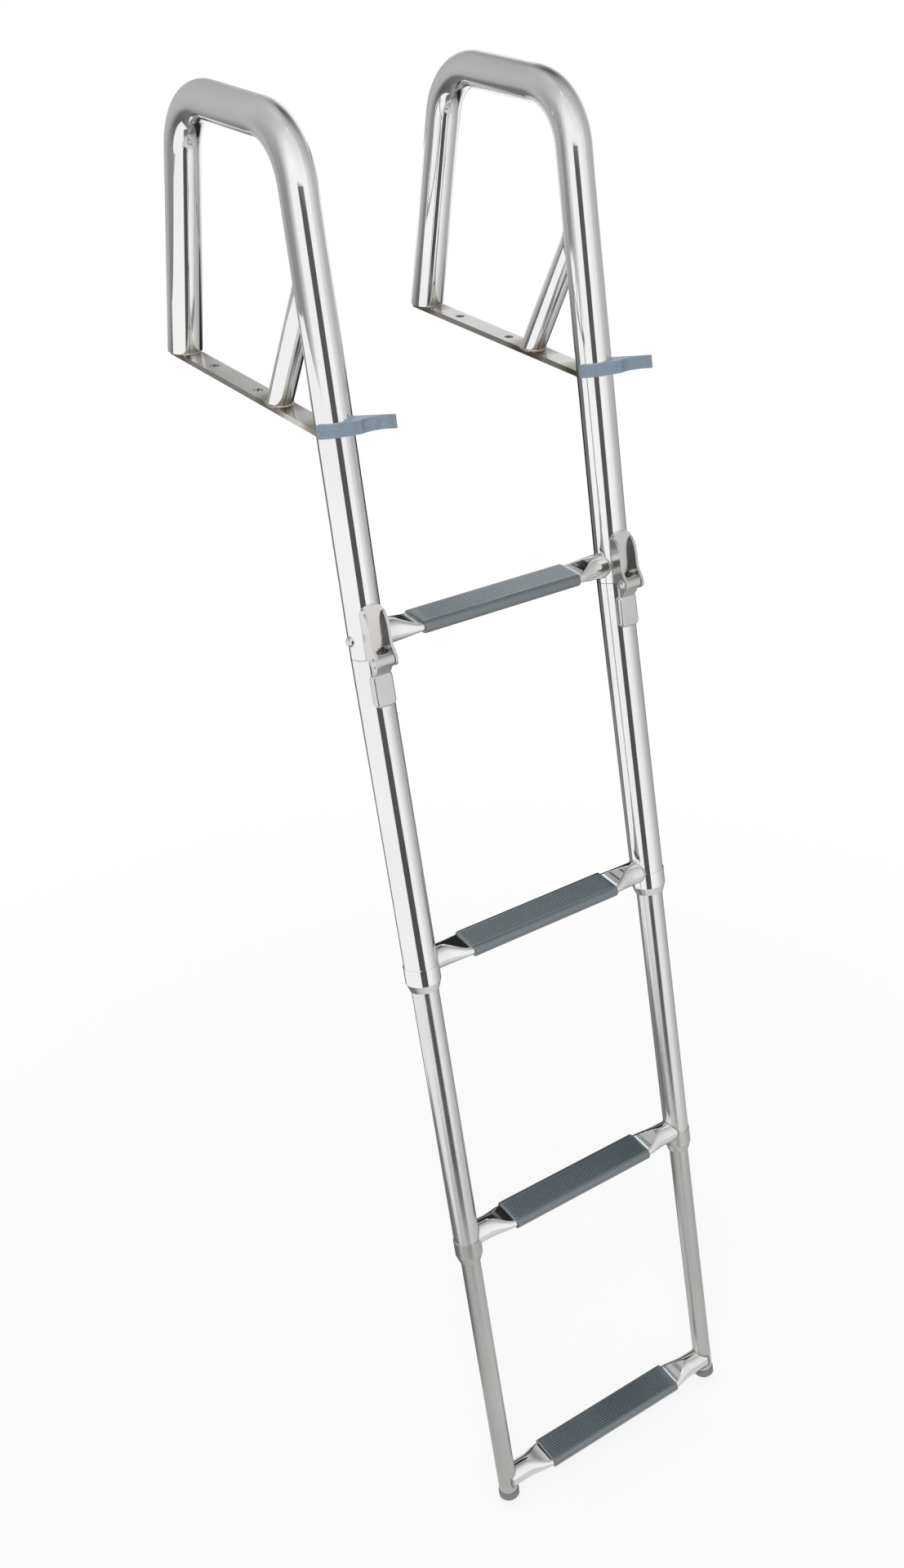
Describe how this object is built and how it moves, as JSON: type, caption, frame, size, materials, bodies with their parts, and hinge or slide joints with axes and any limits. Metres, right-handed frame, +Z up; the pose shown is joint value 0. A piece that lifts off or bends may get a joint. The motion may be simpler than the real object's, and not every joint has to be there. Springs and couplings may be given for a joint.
{
  "type": "boarding_ladder",
  "caption": "Folding, telescoping stainless boat boarding ladder with padded steps, two bent handrail loops, bolt-down base bars and turning rail clips",
  "frame": {"origin": "On the underside of the left base bar, midway between its two bolt holes", "axes": "X runs from the left rail to the right rail, Y from the ladder towards the boat, Z up"},
  "size_m": [0.3256, 0.5636, 1.3042],
  "materials": {
    "steel": "polished",
    "pad": "matte",
    "nylon": "matte",
    "cap": "matte"
  },
  "bodies": {
    "frame": {"step_1_tube": "steel", "step_1_pad": "pad", "left_handrail": "steel", "left_base_bar": "steel", "left_brace": "steel", "left_hinge_bracket": "steel", "left_hinge_pin": "steel", "left_step_button": "steel", "right_handrail": "steel", "right_base_bar": "steel", "right_brace": "steel", "right_hinge_bracket": "steel", "right_hinge_pin": "steel", "right_step_button": "steel"},
    "left_clip": {"left_rail_clip": "nylon"},
    "right_clip": {"right_rail_clip": "nylon"},
    "section_1": {"step_2_tube": "steel", "step_2_pad": "pad", "left_hinge_leaf": "steel", "left_section_1_tube": "steel", "left_section_1_collar": "steel", "right_hinge_leaf": "steel", "right_section_1_tube": "steel", "right_section_1_collar": "steel"},
    "section_2": {"step_3_tube": "steel", "step_3_pad": "pad", "left_section_2_tube": "steel", "left_section_2_collar": "steel", "right_section_2_tube": "steel", "right_section_2_collar": "steel"},
    "section_3": {"step_4_tube": "steel", "step_4_pad": "pad", "left_section_3_tube": "steel", "left_end_cap": "cap", "right_section_3_tube": "steel", "right_end_cap": "cap"}
  },
  "joints": [
    {"name": "fold", "type": "hinge", "parent": "frame", "child": "section_1", "pos_m": [0, -0.23332, -0.1728], "axis": [-1, 0, 0], "range_deg": [0, 180]},
    {"name": "section_2_slide", "type": "slide", "parent": "section_1", "child": "section_2", "axis": [0, 0.2529, 0.9675], "range_m": [0, 0.252]},
    {"name": "section_3_slide", "type": "slide", "parent": "section_2", "child": "section_3", "axis": [0, 0.2529, 0.9675], "range_m": [0, 0.252]},
    {"name": "left_clip_turn", "type": "hinge", "parent": "frame", "child": "left_clip", "pos_m": [0, -0.168, 0.005], "axis": [0, 0.2205, 0.9754], "range_deg": [-29, 0]},
    {"name": "right_clip_turn", "type": "hinge", "parent": "frame", "child": "right_clip", "pos_m": [0.267, -0.168, 0.005], "axis": [0, 0.2205, 0.9754], "range_deg": [-29, 0]}
  ]
}
